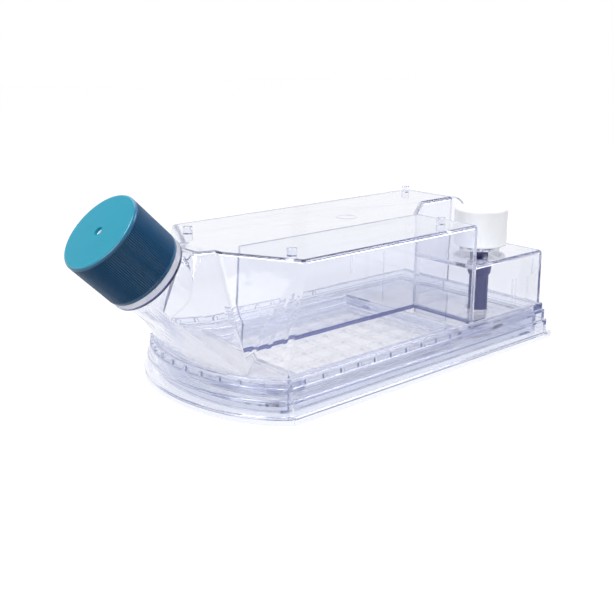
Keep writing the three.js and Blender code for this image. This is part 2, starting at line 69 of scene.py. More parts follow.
FRONT_BOW, BOW_SLOPE = 26.5, 0.68
RIM_STEPS = ((4.0, 0.0, 0.0), (11.0, 2.0, 2.4), (16.5, 3.5, 2.9), (20.0, 5.0, 3.2))  # top, side, rear
RIM_INNER = 9.5
HOUSING_BOTTOM = 20.3
HOUSING_INSET, HOUSING_REAR_INSET = 6.6, 3.5
DECK, SHELF = 73.0, 51.0
DRAFT, FOOT_BAND = 0.4, 5.7
SIDE_Y = BASE_WIDTH / 2 - HOUSING_INSET
REAR_X = BASE_LENGTH - HOUSING_REAR_INSET
NOTCH_LENGTH, NOTCH_WIDTH = 59.4, 67.5
NOTCH_X, NOTCH_Y = REAR_X - NOTCH_LENGTH, NOTCH_WIDTH - SIDE_Y
CORNER_X, CORNER_Y = 31.4, 24.6  # how far the notch's slanted corner reaches
BAFFLE_Y, BAFFLE_WALL = NOTCH_Y - CORNER_Y, 1.8
SHOULDER_X, SHOULDER_HALF, THROAT_HALF = -8.3, 16.3, 14.0
FLANK_X = 11.0  # where the slanted shoulders meet the long sides
FLOOR_TOP = 16.5
WELL_FLOOR = 11.3
NECK_RADIUS, NECK_WALL, NECK_REACH = 17.0, 2.2, 67.7
NECK_DROP = 36.5  # from the deck down to the neck's foot
NECK_FOOT, NECK_TILT = Vector((SHOULDER_X, 0, DECK - NECK_DROP)), Matrix.Rotation(math.radians(-45), 4, "Y")
NECK_TURN = Matrix.Translation(NECK_FOOT) @ NECK_TILT
NECK = FLASK @ Matrix.Translation(NECK_FOOT) @ NECK_TILT
PORT_X, PORT_Y = BASE_LENGTH - 29, 33 - BASE_WIDTH / 2
PORT = FLASK @ Matrix.Translation((PORT_X, PORT_Y, 0))
CAP_RADIUS, CAP_HEIGHT = 20.2, 28.0
CAP_TOP = NECK_REACH + 4.0
PORT_CAP_RADIUS, PORT_CAP_HEIGHT, PORT_CAP_TOP = 14.9, 21.0, 75.0
PORT_NECK_TOP = 70.9
TUBE_RADIUS, TUBE_BORE = 5.3, 3.2
OVERRUN = 1.0
SLIVER = 0.002  # cuts leave slivers thinner than this
# The housing's second finish is a dark tint that paints shade lines
SHADE_LINE, FROST = 1, 2  # the housing's further finishes
# The main cap's side finish has a darker pigment: painted shade
SHADED_SIDE, VENT, RIM = 1, 2, 3  # the main cap's further finishes
COLOUR_A, COLOUR_B = 6, 7  # a Mix node's colour sockets
ROUND = 128


# ---- What a user would change ----

def srgb(code):
    """A linear colour from a hex code as a paint chip gives it."""
    channels = [int(code[i:i + 2], 16) / 255 for i in (1, 3, 5)]
    return [c / 12.92 if c <= 0.04045 else ((c + 0.055) / 1.055) ** 2.4 for c in channels] + [1.0]


def length(name, description, millimetres):
    return FloatProperty(
        name=name, description=description, default=millimetres * MM, min=0.0, unit="LENGTH", precision=4,
    )


def colour(name, description, code):
    return FloatVectorProperty(
        name=name, description=description, default=srgb(code), size=4, min=0.0, max=1.0, subtype="COLOR",
    )


class FlaskSizes(bpy.types.PropertyGroup):
    """Lengths that shape the flask's mouldings."""
    wall: length("Wall", "Thickness of the housing's walls", 2.0)
    edge: length("Edge radius", "Rounding of the housing's outer edges", 2.0)
    corner: length("Corner radius", "Rounding of the housing's upright corners", 1.8)
    inner_edge: length("Inner edge radius", "Rounding of the housing's inner edges", 0.5)
    rim_edge: length("Rim radius", "Rounding of the base's steps", 0.7)
    cap_rim: length("Cap rim radius", "Rounding between the main cap's side and its top", 1.4)
    rib_depth: length("Rib depth", "Depth of the grip ribs on both caps", 0.6)
    neck_pitch: length("Neck thread pitch", "Rise of the main thread in one turn", 4.2)
    port_pitch: length("Port thread pitch", "Rise of the port's thread in one turn", 3.0)
    thread_depth: length("Thread depth", "How far a thread stands off its neck", 1.0)
    tube_frame: length("Frame height", "How far the access tube's raised frame stands off", 0.35)


class FlaskCounts(bpy.types.PropertyGroup):
    """Numbers of repeated features."""
    cap_ribs: IntProperty(name="Main cap ribs", description="Grip ribs round the main cap", default=130, min=12)
    port_ribs: IntProperty(name="Port cap ribs", description="Grip ribs round the port cap", default=90, min=12)


class FlaskColours(bpy.types.PropertyGroup):
    """Colours of the flask's materials."""
    clear: colour("Housing", "Tint of each wall of the housing", "#F6F7FB")
    # Deeper than the housing's tint: partly thicker plastic, partly painted shade for the shadow under the frame
    base: colour("Base", "Tint of each wall of the base frame", "#F0F2F8")
    plate: colour("Plates", "Tint of the thin flat mouldings", "#FDFDFE")
    frost: colour("Neck ring", "Frosted ring on the neck", "#EEEFF9")
    # Painted shade: a dark tint for the lines at the baffle's foot and under the neck's bead
    seam: colour("Seams", "Tint of the weld seams and of the bead's shaded side", "#5661A4")
    depth: colour("Clear plastic depth", "Tint that grows with the plastic's thickness", "#A0A9D1")
    cap: colour("Main cap", "Pigment of the main cap", "#00A4C2")
    # Painted shade: the main cap's side gets a darker, bluer pigment than its top, for the side that faces away from
    # the lamps
    cap_shaded_side: colour("Main cap side", "Ribbed side of the main cap, whose grooves hold the shade", "#2386BC")
    port_cap: colour("Port cap", "Pigment of the port's cap", "#F4F5F9")
    tube: colour("Access tube", "Pigment of the access tube", "#10175A")
    film: colour("Membrane", "Colour of the cell membrane", "#FFFFFF")
    silicone: colour("Silicone", "Colour of the gas sheet, spacer and septum", "#FEFEFF")
    liner: colour("Cap liner", "Colour of the foamed liner", "#F2F3F5")
    studio: colour("Studio", "Backdrop, and the glow of the floor", "#FFFFFF")
    paper: colour("Paper", "Floor where it is only lit by the lamps", "#606064")
    shade: colour("Studio shade", "Ceiling and side flags, which the plastic's edges show", "#8C90B4")


def sizes_in_mm(context):
    """The sizes as plain millimetres."""
    group = context.scene.flask_sizes
    return SimpleNamespace(**{name: getattr(group, name) / MM for name in FlaskSizes.__annotations__})


# ---- Materials ----

def put(tree, kind, links=(), **settings):
    """Adds a node. Settings name its attributes, or its inputs where no attribute has that name."""
    node = tree.nodes.new(kind)
    for name, value in settings.items():
        if hasattr(node, name):
            setattr(node, name, value)
        else:
            node.inputs[name.replace("_", " ")].default_value = value
    for socket, source in dict(links).items():
        tree.links.new(source, node.inputs[socket])
    return node


def new_tree(name):
    """An empty material and its node tree."""
    material = bpy.data.materials.new(name)
    material.use_nodes = True
    material.node_tree.nodes.clear()
    return material, material.node_tree


def object_place(tree, scale=(1, 1, 1)):
    """Object coordinates in metres, stretched by scale."""
    place = put(tree, "ShaderNodeTexCoord").outputs["Object"]
    return put(tree, "ShaderNodeMapping", {"Vector": place}, Scale=scale).outputs["Vector"]


def noise(tree, place, size, detail=2.0):
    """Noise whose lumps are about size millimetres across."""
    return put(tree, "ShaderNodeTexNoise", {"Vector": place}, Scale=1 / (size * MM), Detail=detail).outputs["Fac"]


def bump(tree, height, depth, strength=1.0, normal=None):
    """Relief of depth millimetres."""
    links = {"Height": height}
    if normal is not None:
        links["Normal"] = normal
    return put(tree, "ShaderNodeBump", links, Strength=strength, Distance=depth * MM).outputs["Normal"]


def clear_polystyrene(name, tint, depth_tint, density):
    """Injection-moulded crystal polystyrene. Faint waves where the melt flowed lengthways make its
    reflections swim, and thick or edge-on plastic turns a pale blue-violet as far as density says."""
    material, tree = new_tree(name)
    flow = noise(tree, object_place(tree, (0.3, 1, 1)), 22, 1.0)
    ripple = noise(tree, object_place(tree), 6, 1.0)
    waves = bump(tree, flow, 0.25, 0.5)
    waves = bump(tree, ripple, 0.02, 0.5, waves)
    shader = put(
        tree, "ShaderNodeBsdfPrincipled", {"Normal": waves},
        Base_Color=tint, Roughness=0.02, IOR=1.56, Transmission_Weight=1.0,
    )
    # Lamps reach what is inside through the walls, which dim them a little
    rays = put(tree, "ShaderNodeLightPath")
    through = put(tree, "ShaderNodeBsdfTransparent", Color=srgb("#FAFAFD"))
    mixed = put(
        tree, "ShaderNodeMixShader",
        {"Fac": rays.outputs["Is Shadow Ray"], 1: shader.outputs[0], 2: through.outputs[0]},
    )
    depth = put(tree, "ShaderNodeVolumeAbsorption", Color=depth_tint, Density=density)
    put(tree, "ShaderNodeOutputMaterial", {"Surface": mixed.outputs[0], "Volume": depth.outputs[0]})
    return material


def pigmented_plastic(name, pigment, roughness, grain, relief, mottle=0.06, gloss=0.22):
    """A pigmented moulding: the pigment is a little uneven, and a fine mould grain breaks its gloss."""
    material, tree = new_tree(name)
    place = object_place(tree)
    cloud = noise(tree, place, 9, 3.0)
    dark = [c * (1 - mottle) for c in pigment[:3]] + [1]
    light = [min(1, c * (1 + mottle)) for c in pigment[:3]] + [1]
    shade = put(tree, "ShaderNodeMix", {"Factor": cloud}, data_type="RGBA")
    shade.inputs[COLOUR_A].default_value, shade.inputs[COLOUR_B].default_value = dark, light
    fine = noise(tree, place, grain, 2.0)
    dull = put(tree, "ShaderNodeMapRange", {"Value": fine}, To_Min=roughness - 0.06, To_Max=roughness + 0.06)
    shader = put(
        tree, "ShaderNodeBsdfPrincipled",
        {"Base Color": shade.outputs[2], "Roughness": dull.outputs[0], "Normal": bump(tree, fine, relief)},
        IOR=1.49, Specular_IOR_Level=gloss,
    )
    put(tree, "ShaderNodeOutputMaterial", {"Surface": shader.outputs[0]})
    return material


def translucent_sheet(name, tint, roughness, clearness, grain, relief, index=1.42):
    """A thin sheet that lets light through but blurs it, with a fine grain in its gloss."""
    material, tree = new_tree(name)
    fine = noise(tree, object_place(tree), grain, 2.0)
    dull = put(tree, "ShaderNodeMapRange", {"Value": fine}, To_Min=0.6 * roughness, To_Max=1.4 * roughness)
    shader = put(
        tree, "ShaderNodeBsdfPrincipled", {"Roughness": dull.outputs[0], "Normal": bump(tree, fine, relief)},
        Base_Color=tint, IOR=index, Transmission_Weight=clearness,
    )
    put(tree, "ShaderNodeOutputMaterial", {"Surface": shader.outputs[0]})
    return material


def material_for(context, finish):
    """The flask's material of that name, made the first time it is asked for."""
    made = context.scene.get("flask_materials", {})
    if finish in made:
        return bpy.data.materials[made[finish]]
    colours = context.scene.flask_colours
    makers = {
        "clear": lambda: clear_polystyrene("housing_crystal_polystyrene", colours.clear, colours.depth, density=9.0),
        # Painted shade: a dark navy tint draws the dark lines along the baffle's foot and under the neck's bead, where
        # the clear plastic's refraction shows shade
        "seam": lambda: clear_polystyrene("shade_line_polystyrene", colours.seam, colours.depth, density=9.0),
        # The frame's stacked steps look a shade deeper than the walls above them: partly their thicker plastic, partly
        # painted shade for the floor's shadow under the frame, given as a deeper tint and denser absorption
        "base_clear": lambda: clear_polystyrene("frame_crystal_polystyrene", colours.base, colours.depth, density=20.0),
        # Thin flat mouldings stay almost white along their cut edges
        "thin_clear": lambda: clear_polystyrene("plate_crystal_polystyrene", colours.plate, colours.depth, density=2.5),
        # Polypropylene, moulded satin: a soft sheen along the rim
        "cap": lambda: pigmented_plastic(
            "moulded_teal_polypropylene", colours.cap, roughness=0.34, grain=0.5, relief=0.02, gloss=0.35,
        ),
        # The same polypropylene where the mould was polished: the ribs and the rim shine in thin lines. On the ribbed
        # side its pigment is darker and bluer: painted shade for the side that faces away from the lamps
        "cap_shaded_side": lambda: pigmented_plastic(
            "teal_polypropylene_painted_shade", colours.cap_shaded_side, roughness=0.2, grain=0.5, relief=0.01, gloss=0.6,
        ),
        "cap_rim": lambda: pigmented_plastic(
            "polished_teal_polypropylene", colours.cap, roughness=0.16, grain=0.5, relief=0.01, gloss=0.7,
        ),
        # High-density polyethylene: waxy and almost white
        "port_cap": lambda: pigmented_plastic(
            "moulded_white_polyethylene", colours.port_cap, roughness=0.42, grain=0.6, relief=0.02, mottle=0.015,
        ),
        # Carbon-filled silicone rubber: dark, with a dull sheen
        "tube": lambda: pigmented_plastic(
            "extruded_black_silicone", colours.tube, roughness=0.45, grain=0.4, relief=0.03, mottle=0.12,
        ),
        # Frosted ring on the neck, which the cap comes down to
        "frost": lambda: translucent_sheet(
            "frosted_polystyrene", colours.frost, roughness=0.5, clearness=0.75, grain=0.6, relief=0.02,
        ),
        # Track-etched film: milky, since its pores scatter the light
        "film": lambda: translucent_sheet(
            "etched_membrane_film", colours.film, roughness=0.18, clearness=0.97, grain=0.8, relief=0.02, index=1.15,
        ),
        # Cast silicone sheet: clear but a little hazy, and pressed flat, so it mirrors little
        "silicone": lambda: translucent_sheet(
            "cast_silicone_sheet", colours.silicone, roughness=0.04, clearness=1.0, grain=1.5, relief=0.03, index=1.15,
        ),
        # Foamed polyethylene: matt, with open cells
        "liner": lambda: pigmented_plastic(
            "foamed_polyethylene", colours.liner, roughness=0.7, grain=0.9, relief=0.12, mottle=0.05,
        ),
    }
    material = makers[finish]()
    made = dict(made)
    made[finish] = material.name
    context.scene["flask_materials"] = made
    return material


# ---- Shapes ----

def in_box(low, high):
    """A cuboid between two corners."""
    bm = bmesh.new()
    size = [b - a for a, b in zip(low, high)]
    middle = Matrix.Translation([(a + b) / 2 for a, b in zip(low, high)])
    bmesh.ops.create_cube(bm, size=1, matrix=middle @ Matrix.Diagonal((*size, 1)))
    return bm


def prism(outline, bottom, top):
    """An upright solid on an outline of (x, y) points."""
    bm = bmesh.new()
    face = bm.faces.new([bm.verts.new((x, y, bottom)) for x, y in outline])
    grown = bmesh.ops.extrude_face_region(bm, geom=[face])["geom"]
    lifted = [item for item in grown if isinstance(item, bmesh.types.BMVert)]
    bmesh.ops.translate(bm, vec=(0, 0, top - bottom), verts=lifted)
    bmesh.ops.recalc_face_normals(bm, faces=bm.faces)
    return bm


def hull(points):
    """The convex solid round points, with its flat faces whole."""
    bm = bmesh.new()
    for point in points:
        bm.verts.new(point)
    spare = bmesh.ops.convex_hull(bm, input=bm.verts)
    inside = {item for item in spare["geom_interior"] + spare["geom_unused"] if isinstance(item, bmesh.types.BMVert)}
    bmesh.ops.delete(bm, geom=list(inside), context="VERTS")
    bmesh.ops.dissolve_limit(bm, angle_limit=math.radians(0.3), verts=bm.verts, edges=bm.edges)
    bmesh.ops.recalc_face_normals(bm, faces=bm.faces)
    return bm


def lathe(profile, closed=False, steps=ROUND):
    """A solid turned about Z from (radius, z) points, which close or end on the axis."""
    bm = bmesh.new()
    points = [bm.verts.new((radius, 0, z)) for radius, z in profile]
    edges = [bm.edges.new(pair) for pair in zip(points, points[1:])]
    if closed:
        edges.append(bm.edges.new((points[-1], points[0])))
    bmesh.ops.spin(bm, geom=points + edges, axis=(0, 0, 1), angle=math.tau, steps=steps, use_merge=True)
    bmesh.ops.remove_doubles(bm, verts=bm.verts, dist=1e-4)
    bmesh.ops.recalc_face_normals(bm, faces=bm.faces)
    return bm


def rounded(bm, radius, segments=3, sharper_than=15, where=lambda point: True):
    """Rounds the edges that turn by more than an angle in degrees and whose middle passes where."""
    sharp = math.radians(sharper_than)
    edges = [
        edge for edge in bm.edges
        if edge.calc_face_angle(0) > sharp and where((edge.verts[0].co + edge.verts[1].co) / 2)
    ]
    bmesh.ops.bevel(
        bm, geom=edges, offset=radius, offset_type="OFFSET", segments=segments, profile=0.5,
        affect="EDGES", clamp_overlap=True, material=-1,
    )
    return bm


def above(level):
    return lambda point: point.z > level + 0.05


def helix(radius, start, pitch, turns, depth, steps=48):
    """A screw thread's ridge about Z, tapered into its neck at both ends. Negative depth stands inwards."""
    bm = bmesh.new()
    root = radius - math.copysign(0.3, depth)
    crest = radius + depth
    outline = [(root, -0.36), (crest, -0.14), (crest, 0.14), (root, 0.36)]
    face = bm.faces.new([bm.verts.new((r, 0, start + share * pitch)) for r, share in outline])
    first = list(face.verts)
    spun = bmesh.ops.spin(
        bm, geom=[face, *face.edges, *face.verts], axis=(0, 0, 1), dvec=(0, 0, pitch / steps),
        angle=math.tau * turns, steps=round(steps * turns),
    )
    last = [item for item in spun["geom_last"] if isinstance(item, bmesh.types.BMVert)]
    for vert in first + last:
        if abs(math.hypot(vert.co.x, vert.co.y) - crest) < 0.01:
            shrink = (root + math.copysign(0.05, depth)) / crest
            vert.co.x *= shrink
            vert.co.y *= shrink
    bmesh.ops.recalc_face_normals(bm, faces=bm.faces)
    return bm


def moved(bm, matrix):
    bmesh.ops.transform(bm, matrix=matrix, verts=bm.verts)
    return bm


def gathered(*parts):
    """Several loose solids as one."""
    whole = parts[0]
    for part in parts[1:]:
        mesh = bpy.data.meshes.new("part")
        part.to_mesh(mesh)
        part.free()
        whole.from_mesh(mesh)
        bpy.data.meshes.remove(mesh)
    return whole


def painted(bm, finish, where=lambda point: True):
    """Gives the faces whose middle passes where one of the piece's further finishes."""
    for face in bm.faces:
        if where(face.calc_center_median()):
            face.material_index = finish
    return bm


def loose_object(bm):
    mesh = bpy.data.meshes.new("solid")
    for _ in ("plain", "seam", "frost"):
        mesh.materials.append(None)
    bm.to_mesh(mesh)
    bm.free()
    shell = bpy.data.objects.new("solid", mesh)
    bpy.context.scene.collection.objects.link(shell)
    return shell


def combined(first, *steps):
    """Joins solids to the first one or cuts them from it, in order: ("UNION" or "DIFFERENCE", solid)."""
    body = loose_object(first)
    tools = []
    for operation, solid in steps:
        tools.append(loose_object(solid))
        cut = body.modifiers.new("cut", "BOOLEAN")
        cut.operation, cut.solver, cut.object = operation, "MANIFOLD", tools[-1]
    result = bmesh.new()
    shaped = body.evaluated_get(bpy.context.evaluated_depsgraph_get())
    result.from_mesh(shaped.to_mesh())
    shaped.to_mesh_clear()
    for spent in [body, *tools]:
        mesh = spent.data
        bpy.data.objects.remove(spent)
        bpy.data.meshes.remove(mesh)
    if not result.faces:
        raise RuntimeError("a solid came out empty")
    return result


def without_slivers(bm):
    """Merges what cuts left thinner than a sliver."""
    bmesh.ops.remove_doubles(bm, verts=bm.verts, dist=SLIVER)
    bmesh.ops.dissolve_degenerate(bm, edges=bm.edges, dist=SLIVER)
    return bm


def add_piece(context, name, bm, place, finish, body, slot, node, *further):
    """Puts a finished piece in the scene: its place in its mesh, its material, and what it stands for."""
    moved(bm, place)
    mesh = bpy.data.meshes.new(name)
    bm.to_mesh(mesh)
    bm.free()
    mesh.shade_smooth()
    mesh.set_sharp_from_angle(angle=math.radians(30))
    for kind in (finish, *further):
        mesh.materials.append(material_for(context, kind))
    piece = bpy.data.objects.new(name, mesh)
    context.scene.collection.objects.link(piece)
    even = piece.modifiers.new("even_normals", "WEIGHTED_NORMAL")
    even.keep_sharp, even.weight = True, 100
    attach(piece, body)
    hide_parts(node)
    return piece


def dress(context, finish, *names):
    """Gives CAD nodes whose shape is right their material."""
    for name in names:
        node = NODES[name]
        node.data.materials.clear()
        node.data.materials.append(material_for(context, finish))


# ---- Outlines ----

def base_outline(inset, rear_inset, rear=BASE_LENGTH):
    """The base's outline moved inwards: a rectangle whose front bows forwards from two sharp corners."""
    half = BASE_WIDTH / 2 - inset
    corner = inset * (math.hypot(1, BOW_SLOPE) - 1) / BOW_SLOPE
    reach = 4 / 3 * (FRONT_BOW - inset + corner)
    bow = geometry.interpolate_bezier(
        Vector((corner, half, 0)), Vector((corner - reach, half - BOW_SLOPE * reach, 0)),
        Vector((corner - reach, BOW_SLOPE * reach - half, 0)), Vector((corner, -half, 0)), 41,
    )
    return [(p.x, p.y) for p in bow] + [(rear - rear_inset, -half), (rear - rear_inset, half)]


def at_height(outline, z):
    return [Vector((x, y, z)) for x, y in outline]


# ---- Housing ----

def corner_rings(outline, radii, levels):
    """Rings inside an outline's corners: each level is (z, how much smaller than the corner's radius)."""
    points = []
    for i, (corner, radius) in enumerate(zip(outline, radii)):
        spot = Vector(corner)
        back = (Vector(outline[i - 1]) - spot).normalized()
        ahead = (Vector(outline[(i + 1) % len(outline)]) - spot).normalized()
        centre = spot + (back + ahead).normalized() * radius / math.sin(back.angle(ahead) / 2)
        for z, less in levels:
            for k in range(24):
                turn = math.tau * k / 24
                x, y = (radius - less) * math.cos(turn), (radius - less) * math.sin(turn)
                points.append(Vector((centre.x + x, centre.y + y, z)))
    return points


def crowned(outline, radii, top, edge):
    """A top face with rounded corners, and a rounded edge all round it."""
    steps = [math.radians(18 * i) for i in range(6)]
    levels = [(top - edge + edge * math.sin(a), edge - edge * math.cos(a)) for a in steps]
    return corner_rings(outline, radii, levels)


def box_body(foot, head, radii, bottom, top, edge):
    return hull(corner_rings(foot, radii, [(bottom, 0)]) + crowned(head, radii, top, edge))


def front_body(shrink, bottom, edge, corner):
    """The body in front of the notch, shrunk by a wall."""
    foot = base_outline(HOUSING_INSET + shrink, shrink, NOTCH_X)
    foot[-2:] = [(NOTCH_X - shrink - 1, foot[-2][1]), (NOTCH_X - shrink - 1, foot[-1][1])]
    side, shoulder = SIDE_Y - DRAFT - shrink, SHOULDER_HALF - shrink
    outline = [
        (SHOULDER_X + shrink, -shoulder), (FLANK_X + shrink, -side), (NOTCH_X - shrink, -side),
        (NOTCH_X - shrink, side), (FLANK_X + shrink, side), (SHOULDER_X + shrink, shoulder),
    ]
    soft = corner + 1.5  # the corners away from the notch are rounder
    radii = [soft, soft, corner, corner, soft, soft]
    levels = (bottom, HOUSING_BOTTOM + FOOT_BAND)
    points = [point for z in levels for point in at_height(foot, z)]
    rear = corner_rings(outline[1:5], [corner] * 4, [(bottom, 0)])
    points += [point for point in rear if point.x > NOTCH_X / 2]
    return hull(points + crowned(outline, radii, DECK - shrink, edge))


def throat(shrink, bottom, edge, corner):
    """The throat gathers the bow's middle into the round root of the neck."""
    foot_half = 41 - shrink
    foot = [p for p in base_outline(HOUSING_INSET + shrink, shrink, NOTCH_X) if abs(p[1]) < foot_half]
    rise = NECK_RADIUS * math.sqrt(0.5)
    front = NECK_FOOT.x + rise - (DECK - NECK_FOOT.z - rise) + shrink
    half, shoulder, inside = THROAT_HALF - shrink, SHOULDER_HALF - shrink, SHOULDER_X + shrink + 14
    root_radius, root_reach = NECK_RADIUS - (NECK_WALL if shrink else 0), 24
    spokes = [math.tau * i / 64 for i in range(64)]
    root = [
        NECK_TURN @ Vector((root_radius * math.cos(a), root_radius * math.sin(a), root_reach)) for a in spokes
    ]
    outline = [
        (front, -half), (SHOULDER_X + shrink, -shoulder), (inside, -shoulder),
        (inside, shoulder), (SHOULDER_X + shrink, shoulder), (front, half),
    ]
    levels = (bottom, HOUSING_BOTTOM + FOOT_BAND)
    points = [point for z in levels for point in at_height(foot, z)]
    radii = [corner + 3, corner + 3, corner, corner, corner + 3, corner + 3]
    return hull(points + crowned(outline, radii, DECK - shrink, edge) + root)


def rear_arm(shrink, bottom, edge, corner):
    """The arm that runs on beside the notch to the rear, as its bend and its straight part."""
    bend_x = NOTCH_X + CORNER_X - shrink * math.sqrt(0.5)
    join_x, arm_x = NOTCH_X - 12, bend_x - 8  # each part reaches into the one before

    def bend(lean):
        return [
            (join_x, BAFFLE_Y + shrink), (NOTCH_X - shrink, BAFFLE_Y + shrink), (bend_x, NOTCH_Y + shrink),
            (bend_x, SIDE_Y - shrink - lean), (join_x, SIDE_Y - shrink - lean),
        ]

    def arm(lean):
        return [
            (arm_x, NOTCH_Y + shrink), (REAR_X - shrink - lean, NOTCH_Y + shrink),
            (REAR_X - shrink - lean, SIDE_Y - shrink - lean), (arm_x, SIDE_Y - shrink - lean),
        ]

    return [
        box_body(part(0), part(DRAFT), [corner] * len(part(0)), bottom, DECK - shrink, edge) for part in (bend, arm)
    ]


def port_box(shrink, bottom, edge, corner):
    """The lower box in the notch that the access port stands on."""
    # The outside reaches into the body. The inside thins the wall they share, so its edge looks lighter
    reach = shrink + 0.8 if shrink else 4

    def outline(lean):
        front, rear, near = NOTCH_X + shrink - reach, REAR_X - shrink - lean, lean + shrink - SIDE_Y
        bend_x, back = NOTCH_X + CORNER_X + shrink - reach, NOTCH_Y - shrink + reach
        return [(front, near), (rear, near), (rear, back), (bend_x, back), (front, BAFFLE_Y - shrink + reach)]

    return box_body(outline(0), outline(DRAFT), [corner] * 5, bottom, SHELF - shrink, edge)


def baffle():
    """A plate across the body, from the notch's inner corner almost to the neck, with a step in its front edge."""
    rear, deck = NOTCH_X - 1, DECK - 1
    outline = [(12.2, HOUSING_BOTTOM), (rear, HOUSING_BOTTOM), (rear, deck), (7, deck), (7, 45), (9, 39), (12, 34)]
    stand = Matrix.Translation((0, BAFFLE_Y + BAFFLE_WALL / 2, 0)) @ Matrix.Rotation(math.radians(90), 4, "X")
    return moved(rounded(prism(outline, 0, BAFFLE_WALL), 0.5, 2, 12, lambda point: point.x < 13), stand)


def foot_beads():
    """Beads along the feet of the baffle and of the notch's wall, where they meet the floor of the near bay."""
    low, high, half = HOUSING_BOTTOM - 0.5, HOUSING_BOTTOM + 0.5, 0.35
    beads = []
    for offset in (-BAFFLE_WALL, BAFFLE_WALL):
        y, x = BAFFLE_Y + offset, NOTCH_X - 2 + offset
        beads.append(in_box((12.4, y - half, low), (NOTCH_X - 1, y + half, high)))
        beads.append(in_box((x - half, -SIDE_Y + 1, low), (x + half, BAFFLE_Y + 1, high)))
    # The beads carry the dark tint: painted shade lines along the feet
    return [painted(rounded(bead, 0.2, 2, 40), SHADE_LINE) for bead in beads]


def notch_foot():
    """The notch's walls run on down to the floor plate and close the port's box off from the body."""
    wall, margin = 2, 10
    reach, rear, bend = BASE_WIDTH / 2 - margin, BASE_LENGTH - margin, NOTCH_X + CORNER_X
    front, back = NOTCH_X - wall, NOTCH_Y + wall
    outer = [(front, -reach), (front, BAFFLE_Y), (bend - 1, back), (rear, back), (rear, -reach)]
    hollow = [
        (NOTCH_X, -reach - 1), (NOTCH_X, BAFFLE_Y), (bend, NOTCH_Y), (rear + 1, NOTCH_Y), (rear + 1, -reach - 1),
    ]
    bottom, top = FLOOR_TOP + 0.3, HOUSING_BOTTOM + 1
    return combined(prism(outer, bottom, top), ("DIFFERENCE", prism(hollow, bottom - 1, top + 1)))


def rear_wing():
    """The rear wall runs past the notch's back wall and ends in a rounded top corner."""
    near, radius = NOTCH_Y - 10, 9
    arc = [
        (near + radius - radius * math.sin(i * math.pi / 24), DECK - radius + radius * math.cos(i * math.pi / 24))
        for i in range(13)
    ]
    outline = [(NOTCH_Y + 1, SHELF - 1), (NOTCH_Y + 1, DECK), *arc, (near, SHELF - 1)]
    plate = prism(outline, 0, 2)
    turn = Matrix(((0, 0, 1, REAR_X - DRAFT - 2), (1, 0, 0, 0), (0, 1, 0, 0), (0, 0, 0, 1)))
    return rounded(moved(plate, turn), 0.4, 2, 40, above(SHELF))


def neck_tube(sizes):
    """The neck, the bead below its cap, and its thread."""
    bead_top = CAP_TOP - CAP_HEIGHT - 0.3
    bead, bead_foot, shaded = NECK_RADIUS + 3, bead_top - 4.0, 1.5
    tube = lathe([
        (0, 0), (NECK_RADIUS, 0), (NECK_RADIUS, bead_foot), (bead, bead_foot), (bead, bead_foot + shaded),
        (bead, bead_top), (NECK_RADIUS, bead_top), (NECK_RADIUS, NECK_REACH), (0, NECK_REACH),
    ])
    rounded(tube, 0.5, 3, 40, above(1))
    on_bead = NECK_RADIUS + 0.5
    # The bead's lower band carries the dark tint: painted shade, where its underside shows the cap's dark colour
    painted(tube, SHADE_LINE, lambda point: abs(point.z - bead_foot) < shaded and point.xy.length > on_bead)
    painted(tube, FROST, lambda point: point.z > bead_foot + shaded and point.xy.length > on_bead)
    thread = helix(NECK_RADIUS, bead_top + 6, sizes.neck_pitch, 3.2, sizes.thread_depth)
    return tube, thread


def stacking_pins():
    """Four round pins that locate a flask stacked on the deck."""
    half, radius, foot, top = BASE_WIDTH / 2, 2.4, DECK - 1, DECK + 3.8
    profile = [(0, foot), (radius, foot), (radius, top), (0, top)]
    places = ((12.9, 17.8 - half), (4.1, half - 32.8), (NOTCH_X - 14, 21.5 - half), (BASE_LENGTH - 14.3, half - 15.5))
    pins = [
        moved(rounded(lathe(profile, steps=32), 0.6, 3, 40), Matrix.Translation((x, y, 0))) for x, y in places
    ]
    return gathered(*pins)


def mould_marks():
    """The low gate ring on the deck, and the faint upright ribs of the baffle and of the port's box."""
    inner, outer, foot, crest = 4.9, 5.7, DECK - 0.6, DECK + 0.25
    gate = moved(
        lathe([(inner, foot), (outer, foot), (outer, crest), (inner, crest)], closed=True, steps=96),
        Matrix.Translation((94, 8, 0)),
    )
    baffle_face, box_face, half, sunk = BAFFLE_Y + BAFFLE_WALL / 2, 2 - SIDE_Y, 0.45, 0.5
    marks = [
        in_box((x - half, face - sunk, low), (x + half, face + sunk, high))
        for x, face, low, high in (
            (79.3, baffle_face, 47.5, 57), (104, baffle_face, 28, 55.5),
            (164.2, box_face, 22, 38), (167.2, box_face, 22, 38), (182, box_face, 38, 47), (178, box_face, 22, 37),
        )
    ]
    return gathered(gate, *marks)


